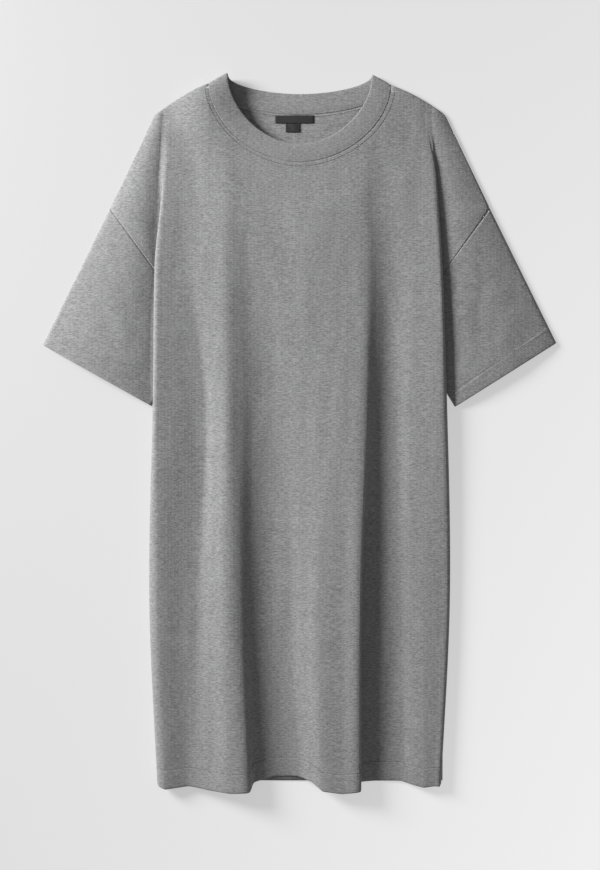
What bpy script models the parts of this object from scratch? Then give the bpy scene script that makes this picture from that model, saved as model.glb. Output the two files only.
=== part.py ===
"""A short-sleeved t-shirt dress laid flat: a front over a back, two sleeves, a neckband and two bare labels.

+Z is up, +Y runs towards the neckline and +X to the right of the front. Lengths below are millimetres,
and the meshes are made in metres. The dress rests on z = 0.
"""

import math

import bmesh
import bpy
import numpy as np

MM = 0.001
OBJECT_NAME = "t_shirt_dress"

# Cloth
WALL = 1.2
BAND_WALL = 2.4
GAP = 0.3
LOW_LAYER = WALL / 2
NEXT_LAYER = WALL + GAP + WALL / 2

# Body outline, seen from above
SHOULDER_CORNER_X = 120.0
SHOULDER_CORNER_Y = 461.0
ARM_TOP_X = 185.0
ARM_TOP_Y = 427.0
SHOULDER_SLOPE = (SHOULDER_CORNER_Y - ARM_TOP_Y) / (ARM_TOP_X - SHOULDER_CORNER_X)
SHOULDER_BULGE = 2.6
SHOULDER_STEPS = 5
SLEEVE_POINT = (250.5, 299.0)
UNDERARM = (139.0, 146.0)
SIDE_HEM_Y = -455.0

# Shoulder edge and armhole seam of one half: how far out the panel reaches at each height
OUTER_Y = (427.0, 424.0, 419.0, 408.0, 299.0, 146.0)
OUTER_X = (185.0, 189.0, 193.0, 198.0, 250.5, 139.0)

# Inner line of the side pleat above the underarm, and the side seam below it
TUCK_Y = (427.0, 146.0, 34.0, -217.0, -380.0, -455.0)
TUCK_X = (185.0, 139.0, 182.0, 189.0, 187.0, 178.0)

# The back's own side edge, which shows past the front at the hem's right corner
BACK_SIDE_X = (185.0, 139.0, 182.0, 189.0, 188.5, 188.0)

# Neckline
NECK_FRONT_DEPTH = 101.5
NECK_BACK_DEPTH = 38.0
NECK_POWER = 1.85
FREE_HALF_WIDTH = 95.0
FREE_Y = 475.0
FREE_FRONT_DEPTH = 91.5
FREE_BACK_DEPTH = 24.5
BAND_LOW = BAND_WALL / 2
BAND_HIGH = 10.0
BAND_TURN = {"left": 4.5, "right": 3.0}
BAND_LEFT_SHIFT = 0.25
BAND_CORNER_RISE = 7.0
BAND_CORNER_POWER = 12
BAND_SEAM_GAP = 1.0
BAND_STEPS = 60
BAND_SHARES = (0.0, 0.5, 1.0)
BACK_NECK_STEPS = 24

# Sleeve: the tips of the cuff on each side, and how the upper layer arches
CUFF_TIP = {"left": (-339.0, 119.5), "right": (338.0, 122.0)}
CUFF_CORNER = {"left": (-196.0, 39.0), "right": (204.5, 38.0)}
SLEEVE_SEAM_GAP = 0.7
SLEEVE_ARCH = 7.0
CUFF_ARCH = 9.0
TUCKED_LAYER = 3.8
ARCH_POWER = 0.8
HIDDEN_FROM_SEAM = 0.53
HIDDEN_FROM_CUFF = 1.0
UNDERARM_CLEARANCE = (3.0, -1.0)
FOLD_RADIUS = 3.0
INNER_FOLD_SHARE = 0.9
UPPER_SHARES = (0.12, 0.22, 0.34, 0.46, 0.58, 0.7, 0.82, 0.92)
LOWER_SHARES = (0.8, 0.6, 0.4, 0.2)
SLEEVE_ROWS = 9

# Labels inside the back neck: centre x, centre y, width, height, thickness
LABEL_MAIN = (-7.5, 417.0, 51.0, 10.5, 0.5)
LABEL_SIZE = (-9.5, 405.7, 19.0, 11.5, 0.5)

# Folds of the front. Each row is a line that runs from the shoulder to the hem, in order across the
# front: its x at five heights, its z at the same heights, and where it ends at the hem.
LEVEL_Y = (427.0, 245.0, 47.0, -217.0, -468.0)
FOLD_LINES = {
    # name:          x at each height                z at each height               hem y
    "left crest":    ((-165, -177, -186, -187, -177), (4.2, 13.6, 15.4, 13.7, 12.5), -465),
    "left trough":   ((-150, -152, -131, -141, -148), (4.6, 10.1, 7.9, 7.9, 8.5), -461),
    "left slope":    ((-128, -123, -115, -119, -119), (5.8, 12.0, 12.4, 14.0, 13.0), -466),
    "left top":      ((-104, -99, -97, -98, -91), (7.2, 14.8, 17.2, 21.0, 20.8), -469),
    "left brink":    ((-86, -82, -79, -78, -67), (7.9, 12.6, 13.8, 18.8, 20.8), -468),
    "left under":    ((-69, -66, -62, -65, -60), (8.5, 10.8, 9.0, 8.6, 9.0), -456),
    "left valley":   ((-50, -44, -40, -46, -40), (8.8, 10.4, 6.8, 3.6, 3.0), -449),
    "middle foot":   ((-26, -20, -18, -20, -6), (9.0, 11.4, 8.0, 4.2, 3.4), -449),
    "middle slope":  ((0, 6, 8, 4, 13), (9.0, 12.8, 11.5, 10.6, 10.4), -455),
    "middle top":    ((33, 35, 36, 28, 31), (9.0, 13.5, 14.4, 17.2, 17.4), -467),
    "middle brow":   ((59, 66, 62, 56, 56), (9.0, 13.5, 16.7, 20.2, 20.6), -470),
    "middle brink":  ((75, 87, 83, 80, 79), (8.5, 12.2, 16.4, 20.6, 21.0), -467),
    "middle under":  ((87, 100, 93, 79, 78), (8.2, 8.5, 8.0, 8.5, 9.0), -456),
    "right valley":  ((98, 112, 104, 97, 97), (7.5, 6.3, 3.4, 2.6, 2.6), -455),
    "right foot":    ((113, 125, 122, 124, 125), (6.8, 6.6, 3.7, 2.9, 2.8), -455),
    "right slope":   ((130, 141, 140, 140, 142), (6.2, 9.2, 7.8, 6.4, 6.6), -460),
    "right top":     ((145, 160, 163, 157, 159), (6.0, 11.2, 11.0, 8.9, 9.6), -463),
    "right crest":   ((158, 177, 186, 187, 176), (5.6, 13.2, 14.2, 10.4, 10.4), -461),
}

# The rolled side edge of the body: its x, the height of its middle, and its half thickness
EDGE_X = {"left": (180, 190, 193, 198, 187), "right": (173, 186, 193, 197, 185)}
EDGE_Z = {"left": (4.0, 10.5, 11.0, 6.8, 7.0), "right": (5.2, 10.8, 10.0, 6.8, 7.0)}
EDGE_HALF = (0.0, 3.2, 3.8, 3.6, 3.6)
EDGE_TURN = 3.0
HAIRPIN = 1.7

# Each side starts as an open valley, which closes into a pleat from this height over this run
PLEAT_FROM = {"left": 350.0, "right": 405.0}
PLEAT_RUN = {"left": 130.0, "right": 60.0}
VALLEY_OUT = 1.0
VALLEY_OUT_SHARE = 0.4
VALLEY_IN = 9.0
VALLEY_DIP = 4.5
VALLEY_RUN = 110.0
VALLEY_SHARES = (0.0, 0.2, 0.4, 0.6, 0.8, 1.0)
UNDERARM_RUN = 30.0

NECK_BLEND = 70.0
SHOULDER_BLEND = 40.0
LENS_ARCH = {"left": 0.105, "right": 0.06}
LENS_ARCH_FADE = 60.0
SEWN_ARCH_POWER = 1.4
SEWN_ARCH_LOSS = 0.4
LENS_COLUMNS = 4
SPREAD_SHARE = 0.25
WIDE_SPAN = 19.0
CURVE_SAMPLES = 400
NECK_SAMPLES = 80
SEARCH_STEPS = 30
WELD = 0.05
ROWS_ABOVE_SLEEVE_POINT = 4
ROWS_AT_ARMHOLE = 4
ROWS_BELOW_UNDERARM = 17
SIDES = {"left": -1.0, "right": 1.0}

CLOTH_COLOUR = (0.27, 0.27, 0.275, 1.0)
LABEL_COLOUR = (0.02, 0.02, 0.022, 1.0)


def smooth(share):
    """0 to 1 with level ends."""
    share = min(1.0, max(0.0, share))
    return share * share * (3.0 - 2.0 * share)


def between_levels(values, y):
    """A smooth curve in y through the values given at LEVEL_Y."""
    levels = np.array(LEVEL_Y[::-1])
    points = np.array(values[::-1], float)
    slopes = np.gradient(points, levels, axis=0)
    y = min(max(y, levels[0]), levels[-1])
    i = min(int(np.searchsorted(levels, y, side="right")) - 1, len(levels) - 2)
    width = levels[i + 1] - levels[i]
    s = (y - levels[i]) / width
    return (
        (2 * s**3 - 3 * s**2 + 1) * points[i]
        + (s**3 - 2 * s**2 + s) * width * slopes[i]
        + (3 * s**2 - 2 * s**3) * points[i + 1]
        + (s**3 - s**2) * width * slopes[i + 1]
    )


def outer_x(y):
    """Distance from the middle to the shoulder edge, or to the armhole seam below the sleeve point."""
    return float(np.interp(y, OUTER_Y[::-1], OUTER_X[::-1]))


def tuck_x(y):
    """Distance from the middle to the inner line of the side pleat, or to the side seam."""
    return float(np.interp(y, TUCK_Y[::-1], TUCK_X[::-1]))


def neck_curve(half_width, start_y, depth, turn):
    """A point on a neckline: turn runs from 0 at the right shoulder to pi at the left one."""
    across = math.cos(turn)
    down = max(0.0, 1.0 - abs(across) ** NECK_POWER) ** (1.0 / NECK_POWER)
    return half_width * across, start_y - depth * down


def band_height(turn):
    """Height of the neckband's middle: high in front, low behind, turning over at each shoulder."""
    leftness = (1.0 - math.cos(turn)) / 2
    sharpness = BAND_TURN["right"] + (BAND_TURN["left"] - BAND_TURN["right"]) * leftness
    lift = math.tanh(sharpness * (math.sin(turn) - BAND_LEFT_SHIFT * leftness**6))
    high = BAND_HIGH + BAND_CORNER_RISE * leftness**BAND_CORNER_POWER
    return (high + BAND_LOW) / 2 - lift * (high - BAND_LOW) / 2


def arm_arch(share, hidden_from, edge_z, arch):
    """Height of the upper layer of an arm, from its outer fold to where the body covers it and beyond."""
    if share >= hidden_from:
        return TUCKED_LAYER
    inward = share / hidden_from
    return edge_z + (TUCKED_LAYER - edge_z) * inward + arch * math.sin(math.pi * inward) ** ARCH_POWER


def seam_height(share):
    """Height of the armhole seam on the upper layer, from the sleeve point to the underarm."""
    height = arm_arch(share, HIDDEN_FROM_SEAM, NEXT_LAYER, SLEEVE_ARCH)
    if share > HIDDEN_FROM_SEAM:
        height += (NEXT_LAYER - TUCKED_LAYER) * smooth((share - HIDDEN_FROM_SEAM) / (1 - HIDDEN_FROM_SEAM))
    return height


def pleat_share(side, y):
    """0 where the side has an open valley, 1 where its cloth is tucked under."""
    return smooth((PLEAT_FROM[side] - y) / PLEAT_RUN[side])


def valley_x(side, y):
    """Distance from the middle to the bottom of the side's open valley."""
    edge = float(between_levels(EDGE_X[side], y))
    return edge + min(VALLEY_OUT, max(0.0, VALLEY_OUT_SHARE * (outer_x(y) - edge)))


def side_stations(side, y):
    """The valley or pleat and the rolled edge at one side, from its inner line outwards and over: (x, z)."""
    pleat = pleat_share(side, y)
    edge = float(between_levels(EDGE_X[side], y))
    edge_z = float(between_levels(EDGE_Z[side], y))
    half = float(between_levels(EDGE_HALF, y))
    tuck = tuck_x(y)
    above_underarm = smooth((y - UNDERARM[1]) / UNDERARM_RUN) * pleat
    low = NEXT_LAYER + above_underarm * (TUCKED_LAYER - NEXT_LAYER)
    closed = [
        (tuck, low),
        (tuck - HAIRPIN, low + HAIRPIN),
        (tuck, low + 2 * HAIRPIN),
        (edge - EDGE_TURN, edge_z - half),
        (edge, edge_z),
        (edge - EDGE_TURN, edge_z + half),
    ]
    high = edge_z + half
    bottom = max(high - VALLEY_DIP * smooth((ARM_TOP_Y - y) / VALLEY_RUN), NEXT_LAYER)
    outside, inside = valley_x(side, y), edge - VALLEY_IN
    opened = [
        (outside + (inside - outside) * share, bottom + (high - bottom) * smooth(share))
        for share in VALLEY_SHARES
    ]
    return [
        (open_x + (shut_x - open_x) * pleat, open_z + (shut_z - open_z) * pleat)
        for (open_x, open_z), (shut_x, shut_z) in zip(opened, closed)
    ]


def stations_at(y):
    """The whole section of the front at one height, from the left pleat to the right one: (x, z) rows."""
    left = [(-x, z) for x, z in side_stations("left", y)]
    middle = [
        (float(between_levels(xs, y)), float(between_levels(zs, y))) for xs, zs, _ in FOLD_LINES.values()
    ]
    right = side_stations("right", y)[::-1]
    return np.array(left + middle + right)


SIDE_COUNT = 6
FIRST_FOLD = SIDE_COUNT
LAST_FOLD = SIDE_COUNT + len(FOLD_LINES) - 1
LAST_STATION = 2 * SIDE_COUNT + len(FOLD_LINES) - 1


def on_section(stations, place):
    """The point at a place along a section, where whole numbers are its stations."""
    i = min(int(place), len(stations) - 2)
    s = place - i
    before = stations[max(i - 1, 0)]
    start, end = stations[i], stations[i + 1]
    after = stations[min(i + 2, len(stations) - 1)]
    reach = np.linalg.norm(end - start)
    tangent_in = (end - before) / max(np.linalg.norm(end - before), 1e-6) * reach
    tangent_out = (after - start) / max(np.linalg.norm(after - start), 1e-6) * reach
    return (
        (2 * s**3 - 3 * s**2 + 1) * start
        + (s**3 - 2 * s**2 + s) * tangent_in
        + (3 * s**2 - 2 * s**3) * end
        + (s**3 - s**2) * tangent_out
    )


def hem_at(place):
    """Where a column of the front ends at the hem."""
    ends = [SIDE_HEM_Y] * SIDE_COUNT + [hem for _, _, hem in FOLD_LINES.values()] + [SIDE_HEM_Y] * SIDE_COUNT
    return float(np.interp(place, range(len(ends)), ends))


def column_places():
    """Places of the front's columns: every station, and the middle of each wide span."""
    at_thigh = stations_at(LEVEL_Y[3])
    at_underarm = stations_at(UNDERARM[1])
    places = []
    for i in range(LAST_STATION):
        places.append(float(i))
        span = max(abs(line[i + 1, 0] - line[i, 0]) for line in (at_thigh, at_underarm))
        folded = at_thigh[i + 1, 0] < at_thigh[i, 0] and FIRST_FOLD <= i <= LAST_FOLD
        if span > WIDE_SPAN or folded:
            places.append(i + 0.5)
    places.append(float(LAST_STATION))
    return places


def shoulder_y(x):
    """Height of the shoulder line, which bulges a little."""
    out = abs(x) - SHOULDER_CORNER_X
    along = min(1.0, max(0.0, out / (ARM_TOP_X - SHOULDER_CORNER_X)))
    return SHOULDER_CORNER_Y - SHOULDER_SLOPE * out + SHOULDER_BULGE * math.sin(math.pi * along)


def neckline_points(count):
    """Evenly spaced points along the front neckline from the left shoulder to the right: (x, y)."""
    turns = np.linspace(math.pi, 0.0, CURVE_SAMPLES)
    line = np.array([neck_curve(SHOULDER_CORNER_X, SHOULDER_CORNER_Y, NECK_FRONT_DEPTH, t) for t in turns])
    run = np.concatenate([[0.0], np.cumsum(np.linalg.norm(np.diff(line, axis=0), axis=1))])
    picked = np.interp(np.linspace(0.0, run[-1], count), run, turns)
    return [neck_curve(SHOULDER_CORNER_X, SHOULDER_CORNER_Y, NECK_FRONT_DEPTH, t) for t in picked]


def place_with_x(x, y):
    """The place on the section at height y whose x is given."""
    stations = stations_at(y)
    low, high = 0.0, float(LAST_STATION)
    for _ in range(SEARCH_STEPS):
        middle = (low + high) / 2
        if on_section(stations, middle)[0] < x:
            low = middle
        else:
            high = middle
    return (low + high) / 2


def front_tops(places):
    """The upper end of each column: (place, x, y, z) on the shoulder lines and the neckline."""
    stations = stations_at(ARM_TOP_Y)
    natural = [on_section(stations, place)[0] for place in places]
    first = int(np.argmin([abs(x + SHOULDER_CORNER_X) for x in natural]))
    last = int(np.argmin([abs(x - SHOULDER_CORNER_X) for x in natural]))
    neckline = neckline_points(last - first + 1)
    tops = []
    for i, x in enumerate(natural):
        y = shoulder_y(x)
        if first <= i <= last:
            x, y = neckline[i - first]
        level = min(y, ARM_TOP_Y)
        place = place_with_x(x, level)
        z = on_section(stations_at(level), place)[1]
        z += (NEXT_LAYER - z) * smooth((abs(x) - SHOULDER_CORNER_X) / SHOULDER_BLEND)
        tops.append((place, x, y, z))
    return tops


def front_neck_line():
    """Points along the front neckline with the height of the neckband there: (x, y) rows and heights."""
    turns = np.linspace(math.pi, 2 * math.pi, NECK_SAMPLES)
    line = np.array([neck_curve(SHOULDER_CORNER_X, SHOULDER_CORNER_Y, NECK_FRONT_DEPTH, t) for t in turns])
    return line, [band_height(turn) for turn in turns]


def lifted(neck, x, y, z):
    """The height of a point of the front, drawn towards the neckband's height near the neck."""
    line, heights = neck
    away = np.hypot(line[:, 0] - x, line[:, 1] - y)
    nearest = int(np.argmin(away))
    return z + (heights[nearest] - z) * (1.0 - smooth(away[nearest] / NECK_BLEND))


def front_rows():
    """Shares of the way from the top to the hem, with rows at the sleeve point and at the underarm."""
    length = ARM_TOP_Y - SIDE_HEM_Y
    at_sleeve_point = (ARM_TOP_Y - SLEEVE_POINT[1]) / length
    at_underarm = (ARM_TOP_Y - UNDERARM[1]) / length
    return np.concatenate(
        [
            np.linspace(0.0, at_sleeve_point, ROWS_ABOVE_SLEEVE_POINT + 1)[:-1],
            np.linspace(at_sleeve_point, at_underarm, ROWS_AT_ARMHOLE + 1)[:-1],
            np.linspace(at_underarm, 1.0, ROWS_BELOW_UNDERARM + 1),
        ]
    )


def lens_point(side, share, y, body):
    """A point of the dropped shoulder, from its outer edge (share 0) to the body's edge (share 1)."""
    body_x, body_z = abs(body[0]), body[2]
    if y <= UNDERARM[1]:
        return SIDES[side] * body_x, body_z
    out = outer_x(y)
    edge = max(float(between_levels(EDGE_X[side], y)), body_x)
    below_point = SLEEVE_POINT[1] - y
    seam_share = below_point / (SLEEVE_POINT[1] - UNDERARM[1])
    outer_z = seam_height(seam_share) if seam_share > 0 else NEXT_LAYER
    x = out + (body_x - out) * share
    visible = max(out - edge, 0.0)
    covered = min((out - x) / visible, 1.0) if visible > 1.0 else 1.0
    below = smooth(below_point / LENS_ARCH_FADE)
    folded_edge = max(0.0, math.sin(math.pi * covered)) ** ARCH_POWER
    sewn_edge = math.sin(math.pi * covered**SEWN_ARCH_POWER)
    rise = LENS_ARCH[side] * visible * (1.0 - SEWN_ARCH_LOSS * below)
    arch = folded_edge + (sewn_edge - folded_edge) * below
    return SIDES[side] * x, outer_z + (body_z - outer_z) * covered + rise * arch


def front_grid():
    """Rows of points over the whole front."""
    places = column_places()
    tops = front_tops(places)
    neck = front_neck_line()
    grid = []
    for v in front_rows():
        side_y = ARM_TOP_Y + v * (SIDE_HEM_Y - ARM_TOP_Y)
        body = []
        for place, (top_place, top_x, top_y, top_z) in zip(places, tops):
            y = top_y + v * (hem_at(place) - top_y)
            here = top_place + (place - top_place) * smooth(v / SPREAD_SHARE)
            x, z = on_section(stations_at(y), here)
            z = top_z + (z - top_z) * smooth((top_y - y) / NECK_BLEND)
            if v == 0.0:
                x = top_x
            body.append((x, y, lifted(neck, x, y, z)))
        left, right = [], []
        for i in range(LENS_COLUMNS):
            x, z = lens_point("left", i / LENS_COLUMNS, side_y, body[0])
            left.append((x, side_y, z))
            x, z = lens_point("right", i / LENS_COLUMNS, side_y, body[-1])
            right.append((x, side_y, z))
        grid.append(left + body + right[::-1])
    for i in range(LENS_COLUMNS):
        grid[0][i] = grid[0][LENS_COLUMNS]
        grid[0][-1 - i] = grid[0][-1 - LENS_COLUMNS]
    return grid


def material(name, colour, roughness):
    made = bpy.data.materials.new(name)
    made.use_nodes = True
    shader = made.node_tree.nodes["Principled BSDF"]
    shader.inputs["Base Color"].default_value = colour
    shader.inputs["Roughness"].default_value = roughness
    shader.inputs["Metallic"].default_value = 0.0
    made.diffuse_color = colour
    return made


def add_object(name, mesh, collection, colour, roughness=0.9):
    made = bpy.data.objects.new(name, mesh)
    collection.objects.link(made)
    mesh.materials.append(material(name + "_cloth", colour, roughness))
    return made


def sheet_mesh(name, grid, closed_across=False, closed_along=False):
    """A mesh over rows of points given in millimetres, with the points that coincide made one."""
    bm = bmesh.new()
    rows = [[bm.verts.new([c * MM for c in point]) for point in row] for row in grid]
    down = len(rows) if closed_along else len(rows) - 1
    across = len(rows[0]) if closed_across else len(rows[0]) - 1
    for i in range(down):
        upper, lower = rows[i], rows[(i + 1) % len(rows)]
        for j in range(across):
            k = (j + 1) % len(upper)
            bm.faces.new((upper[j], lower[j], lower[k], upper[k]))
    bmesh.ops.remove_doubles(bm, verts=bm.verts, dist=WELD * MM)
    bmesh.ops.recalc_face_normals(bm, faces=bm.faces)
    mesh = bpy.data.meshes.new(name)
    bm.to_mesh(mesh)
    bm.free()
    mesh.shade_smooth()
    return mesh


def thicken(obj, wall):
    solid = obj.modifiers.new("wall", "SOLIDIFY")
    solid.thickness = wall * MM
    solid.offset = 0.0
    solid.use_rim = True
    solid.use_quality_normals = True


def make_front(collection):
    made = add_object("front_panel", sheet_mesh("front_panel", front_grid()), collection, CLOTH_COLOUR)
    thicken(made, WALL)


def back_outline():
    """The back's outline, from the left shoulder round the hem to the right, and back along the neckline."""
    shoulder = np.linspace(SHOULDER_CORNER_X, ARM_TOP_X, SHOULDER_STEPS + 1)[1:-1]
    left_side = [(-x, shoulder_y(x)) for x in shoulder]
    left_side += [(-x, y) for x, y in zip(OUTER_X[:-1], OUTER_Y[:-1])]
    left_side += [(-x, y) for x, y in zip(BACK_SIDE_X[1:], TUCK_Y[1:])]
    right_side = [(-x, y) for x, y in left_side[::-1]]
    neck = []
    for turn in np.linspace(0.0, math.pi, BACK_NECK_STEPS + 1):
        neck.append(neck_curve(SHOULDER_CORNER_X, SHOULDER_CORNER_Y, NECK_BACK_DEPTH, turn))
    return left_side + right_side + neck


def make_back(collection):
    outline = back_outline()
    curve = bpy.data.curves.new("back_panel", "CURVE")
    curve.dimensions = "2D"
    curve.fill_mode = "BOTH"
    curve.extrude = WALL / 2 * MM
    spline = curve.splines.new("POLY")
    spline.points.add(len(outline) - 1)
    for point, (x, y) in zip(spline.points, outline):
        point.co = (x * MM, y * MM, 0.0, 1.0)
    spline.use_cyclic_u = True
    made = add_object("back_panel", curve, collection, CLOTH_COLOUR)
    made.location.z = LOW_LAYER * MM


def sleeve_ring(side, share):
    """One ring of a sleeve, from the armhole (share 0) to the cuff (share 1)."""
    sign = SIDES[side]
    tip, corner = np.array(CUFF_TIP[side]), np.array(CUFF_CORNER[side])
    point = np.array([sign * SLEEVE_POINT[0], SLEEVE_POINT[1]])
    clear_x, clear_y = UNDERARM_CLEARANCE
    underarm = np.array([sign * (UNDERARM[0] + clear_x), UNDERARM[1] + clear_y])
    along = (tip - point) / np.linalg.norm(tip - point)
    point = point + along * SLEEVE_SEAM_GAP
    underarm = underarm + along * SLEEVE_SEAM_GAP
    outer = point + (tip - point) * share
    inner = underarm + (corner - underarm) * share
    width = np.linalg.norm(inner - outer)
    hidden = HIDDEN_FROM_SEAM + (HIDDEN_FROM_CUFF - HIDDEN_FROM_SEAM) * share
    arch = SLEEVE_ARCH + (CUFF_ARCH - SLEEVE_ARCH) * smooth(share)
    ring = []
    fold = FOLD_RADIUS / width
    ring.append((*outer, NEXT_LAYER))
    for q in (fold, *UPPER_SHARES, 1 - fold):
        z = max(TUCKED_LAYER + 0.2, arm_arch(q, hidden, NEXT_LAYER, arch))
        ring.append((*(outer + (inner - outer) * q), z if q < INNER_FOLD_SHARE else min(z, TUCKED_LAYER)))
    ring.append((*inner, (LOW_LAYER + TUCKED_LAYER) / 2))
    for q in (1 - fold, *LOWER_SHARES, fold):
        ring.append((*(outer + (inner - outer) * q), LOW_LAYER))
    return ring


def make_sleeve(side, collection):
    name = "sleeve_" + side
    grid = [sleeve_ring(side, i / SLEEVE_ROWS) for i in range(SLEEVE_ROWS + 1)]
    made = add_object(name, sheet_mesh(name, grid, closed_across=True), collection, CLOTH_COLOUR)
    thicken(made, WALL)


def band_rib(turn):
    """The strip of the neckband at one turn, from its seam to its free edge."""
    front = math.sin(turn) < 0
    seam_depth = NECK_FRONT_DEPTH if front else NECK_BACK_DEPTH
    free_depth = FREE_FRONT_DEPTH if front else FREE_BACK_DEPTH
    half_width = SHOULDER_CORNER_X - BAND_SEAM_GAP
    seam = np.array(neck_curve(half_width, SHOULDER_CORNER_Y + BAND_SEAM_GAP, seam_depth, turn))
    free = np.array(neck_curve(FREE_HALF_WIDTH, FREE_Y, free_depth, turn))
    z = band_height(turn)
    return [(*(seam + (free - seam) * q), z) for q in BAND_SHARES]


def make_neckband(collection):
    turns = [2 * math.pi * (i + 0.5) / BAND_STEPS for i in range(BAND_STEPS)]
    grid = [band_rib(turn) for turn in turns]
    made = add_object(
        "neckband", sheet_mesh("neckband", grid, closed_along=True), collection, CLOTH_COLOUR
    )
    thicken(made, BAND_WALL)


def make_label(name, size, collection):
    x, y, width, height, thickness = size
    bm = bmesh.new()
    bmesh.ops.create_cube(bm, size=MM)
    bmesh.ops.scale(bm, vec=(width, height, thickness), verts=bm.verts)
    mesh = bpy.data.meshes.new(name)
    bm.to_mesh(mesh)
    bm.free()
    made = add_object(name, mesh, collection, LABEL_COLOUR, 0.6)
    made.location = (x * MM, y * MM, (WALL + GAP + thickness / 2) * MM)


def main():
    for obj in list(bpy.data.objects):
        bpy.data.objects.remove(obj)
    collection = bpy.data.collections.new(OBJECT_NAME)
    bpy.context.scene.collection.children.link(collection)
    make_back(collection)
    make_front(collection)
    for side in SIDES:
        make_sleeve(side, collection)
    make_neckband(collection)
    make_label("label_main", LABEL_MAIN, collection)
    make_label("label_size", LABEL_SIZE, collection)


main()
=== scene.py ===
"""The looks of a heather grey t-shirt dress laid flat. Lengths are millimetres until a mesh is made."""

import math

import bmesh
import bpy
import numpy as np
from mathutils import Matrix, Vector, noise
from mathutils.bvhtree import BVHTree


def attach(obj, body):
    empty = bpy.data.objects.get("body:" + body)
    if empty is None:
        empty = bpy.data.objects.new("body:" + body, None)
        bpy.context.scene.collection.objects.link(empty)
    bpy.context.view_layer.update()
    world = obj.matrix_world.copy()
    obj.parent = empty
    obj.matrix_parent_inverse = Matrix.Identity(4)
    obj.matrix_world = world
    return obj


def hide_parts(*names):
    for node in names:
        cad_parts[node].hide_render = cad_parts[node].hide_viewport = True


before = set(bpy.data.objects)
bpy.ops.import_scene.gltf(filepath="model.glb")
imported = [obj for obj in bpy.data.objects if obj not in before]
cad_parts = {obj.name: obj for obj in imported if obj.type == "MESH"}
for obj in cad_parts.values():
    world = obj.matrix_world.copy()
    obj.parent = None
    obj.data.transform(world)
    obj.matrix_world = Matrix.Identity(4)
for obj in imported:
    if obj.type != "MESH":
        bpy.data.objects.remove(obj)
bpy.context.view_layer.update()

MM = 0.001
IMAGE_HEIGHT = 870
MM_PER_PIXEL = 1.32

# Cloth
WALL = 1.2
SHELL = 1.0
BAND_WALL = 2.4
GAP = 0.3
LOW_LAYER = WALL / 2
NEXT_LAYER = WALL + GAP + WALL / 2
SHELL_LOW = LOW_LAYER - (WALL - SHELL) / 2
SLEEVE_SHELL_SHARE = 0.8
TINY = 1e-6

# Body outline, seen from above
SHOULDER_CORNER_X = 120.0
SHOULDER_CORNER_Y = 461.0
ARM_TOP_X = 185.0
ARM_TOP_Y = 427.0
SHOULDER_SLOPE = (SHOULDER_CORNER_Y - ARM_TOP_Y) / (ARM_TOP_X - SHOULDER_CORNER_X)
SLEEVE_POINT = (250.5, 299.0)
UNDERARM = (139.0, 146.0)
SIDE_HEM_Y = -455.0
CORNER_HEM_Y = -461.5
OUTER_Y = (427.0, 424.0, 419.0, 408.0, 299.0, 146.0)
OUTER_X = (185.0, 189.0, 193.0, 198.0, 250.5, 139.0)
TUCK_Y = (427.0, 146.0, 34.0, -217.0, -380.0, -455.0)
TUCK_X = (185.0, 139.0, 182.0, 189.0, 187.0, 178.0)
BACK_SIDE_X = (185.0, 139.0, 182.0, 189.0, 188.5, 188.0)

# Neckline
NECK_FRONT_DEPTH = 101.5
NECK_BACK_DEPTH = 38.0
NECK_POWER = 1.85
FREE_HALF_WIDTH = 95.0
FREE_Y = 475.0
FREE_FRONT_DEPTH = 91.5
FREE_BACK_DEPTH = 24.5
BAND_LOW = BAND_WALL / 2
BAND_HIGH = 8.8
BAND_TURN = {"left": 9.0, "right": 3.0}
BAND_LEFT_SHIFT = 0.12
BAND_CORNER_RISE = 12.2
BAND_CORNER_POWER = 12
BAND_SEAM_GAP = 0.1
BAND_STEPS = 360
BAND_RING_POINTS = 15
BAND_FULLNESS = 0.35
BAND_UNDER_SHARE = 0.96
BAND_GROOVE = 0.35
BAND_GROOVE_AT = 0.09
BAND_GROOVE_WIDTH = 0.04
BAND_GROOVE_FROM = 0.3
NECK_SAMPLES = 641
NECK_DIP = 0.25
NECK_DIP_WIDTH = 1.0
NECK_DIP_FADE = 15.0

# Sleeves
CUFF_TIP = {"left": (-339.0, 119.5), "right": (338.0, 122.0)}
CUFF_CORNER = {"left": (-196.0, 39.0), "right": (204.5, 38.0)}
SLEEVE_SEAM_GAP = 0.02
SLEEVE_ARCH = {"left": 7.0, "right": 5.5}
CUFF_ARCH = {"left": 9.0, "right": 6.0}
TUCKED_LAYER = 3.8
ARCH_POWER = {"left": 0.8, "right": 0.5}
HIDDEN_FROM_SEAM = 0.53
HIDDEN_FROM_CUFF = 1.0
FOLD_RADIUS = 3.0
CUFF_TURNING = 20.0
CUFF_ROWS_END = 26.0
SLEEVE_ROWS = 60
RING_EDGE = (0.0, 0.002, 0.006, 0.012, 0.02)
RING_TOP = (0.03, 0.97, 64)
RING_LOW = (0.99, 0.01, 24)

# Turned edges: the step of the doubled cloth, the groove of its stitches and the drop at the edge
HEM_TURNING = 25.0
HEM_STEP = 0.45
STEP_START = 1.0
STEP_RUN = 3.0
STITCH_GROOVE = 0.35
GROOVE_WIDTH = 0.8
EDGE_DROP = 0.5
EDGE_DROP_WIDTH = 0.9

# Labels inside the back neck: centre x, centre y, width, height, thickness
LABEL_MAIN = (-7.5, 417.0, 51.0, 10.5, 0.5)
LABEL_SIZE = (-9.5, 405.7, 19.0, 11.5, 0.5)
LABEL_POINTS = (41, 13)
LABEL_WALL_SHARE = 0.7
LABEL_CLEAR = 0.2
LABEL_CROWN = 0.1
LABEL_CROWN_STEEPNESS = 20.0
LABEL_WAVES = (
    # height  along x  along y  start
    (0.12, 7.0, 0.0, 1.0),
    (0.08, 9.0, 5.0, 0.0),
)

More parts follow.
